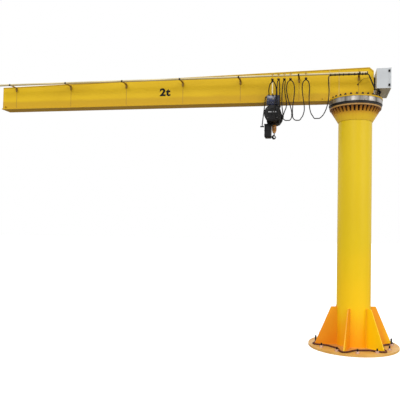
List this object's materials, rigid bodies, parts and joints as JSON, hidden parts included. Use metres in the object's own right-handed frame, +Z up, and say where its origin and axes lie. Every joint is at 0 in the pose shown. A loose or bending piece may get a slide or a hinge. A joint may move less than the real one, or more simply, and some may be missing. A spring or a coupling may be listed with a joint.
{
  "type": "pillar jib crane",
  "caption": "Free-standing pillar jib crane with a slewing box arm, electric chain hoist, festoon cable and rear control box.",
  "frame": {"origin": "centre of the foot plate's underside, on the pillar axis", "axes": "+Z up along the pillar and the slewing axis, the arm points along -X at rest, the festoon rail is on the -Y side"},
  "size_m": [6.92, 1.4, 4.4089],
  "materials": {
    "yellow_paint": "semi gloss",
    "bare_steel": "machined",
    "dark_steel": "satin",
    "rail_steel": "galvanised",
    "box_paint": "fine texture",
    "cable_jacket": "matt",
    "brown_jacket": "matt",
    "hoist_paint": "satin",
    "blue_paint": "satin",
    "orange_paint": "satin",
    "chain_steel": "oiled",
    "black_plastic": "matt",
    "hook_steel": "forged"
  },
  "bodies": {
    "pillar": {"foot_plate": "yellow_paint", "foot_gussets": "yellow_paint", "foot_cable": "brown_jacket", "pillar_tube": "yellow_paint", "head_flange": "yellow_paint", "head_ribs": "yellow_paint", "race_ring": "dark_steel"},
    "jib": {"slew_ring": "bare_steel", "slew_plate": "yellow_paint", "lower_flange": "yellow_paint", "web_front": "yellow_paint", "web_back": "yellow_paint", "top_flange": "yellow_paint", "tip_plate": "yellow_paint", "rear_plate": "yellow_paint", "root_stiffeners": "yellow_paint", "end_stops": "dark_steel", "festoon_rail": "rail_steel", "rail_brackets": "dark_steel", "rail_cable": "cable_jacket", "box_shell": "box_paint", "box_bracket": "dark_steel", "cable_gland": "black_plastic", "door_hinges": "black_plastic", "festoon_cable": "cable_jacket"},
    "door": {"box_door": "box_paint"},
    "trolley": {"trolley_plates": "blue_paint", "trolley_bars": "dark_steel", "trolley_wheels": "bare_steel", "trolley_drive": "blue_paint", "tow_arm": "rail_steel", "trolley_cable": "cable_jacket", "hoist_body": "hoist_paint", "hoist_motor": "hoist_paint", "hoist_gearbox": "hoist_paint", "chain_container": "black_plastic", "control_lead": "cable_jacket", "control_handle": "black_plastic"},
    "hook_block": {"chain": "chain_steel", "hook_block": "orange_paint"},
    "hook": {"hook": "hook_steel"},
    "carrier_1": {"carrier_1": "dark_steel"},
    "carrier_2": {"carrier_2": "dark_steel"},
    "carrier_3": {"carrier_3": "dark_steel"},
    "carrier_4": {"carrier_4": "dark_steel"}
  },
  "joints": [
    {"name": "jib_slew", "type": "hinge", "parent": "pillar", "child": "jib", "pos_m": [0, 0, 3.77], "axis": [0, 0, 1], "range_deg": [-170, 170]},
    {"name": "trolley_travel", "type": "slide", "parent": "jib", "child": "trolley", "axis": [-1, 0, 0], "range_m": [-0.15, 4.7], "deforming": ["festoon_cable"]},
    {"name": "hook_lift", "type": "slide", "parent": "trolley", "child": "hook_block", "axis": [0, 0, -1], "range_m": [0, 3.05], "deforming": ["chain"]},
    {"name": "hook_swivel", "type": "hinge", "parent": "hook_block", "child": "hook", "pos_m": [-1.3, 0, 3.4033], "axis": [0, 0, 1], "continuous": true},
    {"name": "box_door_swing", "type": "hinge", "parent": "jib", "child": "door", "pos_m": [0.493, -0.3093, 4.1703], "axis": [0, 0, -1], "range_deg": [0, 110]},
    {"name": "carrier_1_roll", "type": "slide", "parent": "jib", "child": "carrier_1", "axis": [-1, 0, 0], "range_m": [-0.03, 0.94]},
    {"name": "carrier_2_roll", "type": "slide", "parent": "jib", "child": "carrier_2", "axis": [-1, 0, 0], "range_m": [-0.06, 1.88]},
    {"name": "carrier_3_roll", "type": "slide", "parent": "jib", "child": "carrier_3", "axis": [-1, 0, 0], "range_m": [-0.09, 2.82]},
    {"name": "carrier_4_roll", "type": "slide", "parent": "jib", "child": "carrier_4", "axis": [-1, 0, 0], "range_m": [-0.12, 3.76]}
  ],
  "couplings": [
    {"joint": "carrier_1_roll", "follows": "trolley_travel", "ratio": 0.2},
    {"joint": "carrier_2_roll", "follows": "trolley_travel", "ratio": 0.4},
    {"joint": "carrier_3_roll", "follows": "trolley_travel", "ratio": 0.6},
    {"joint": "carrier_4_roll", "follows": "trolley_travel", "ratio": 0.8}
  ]
}
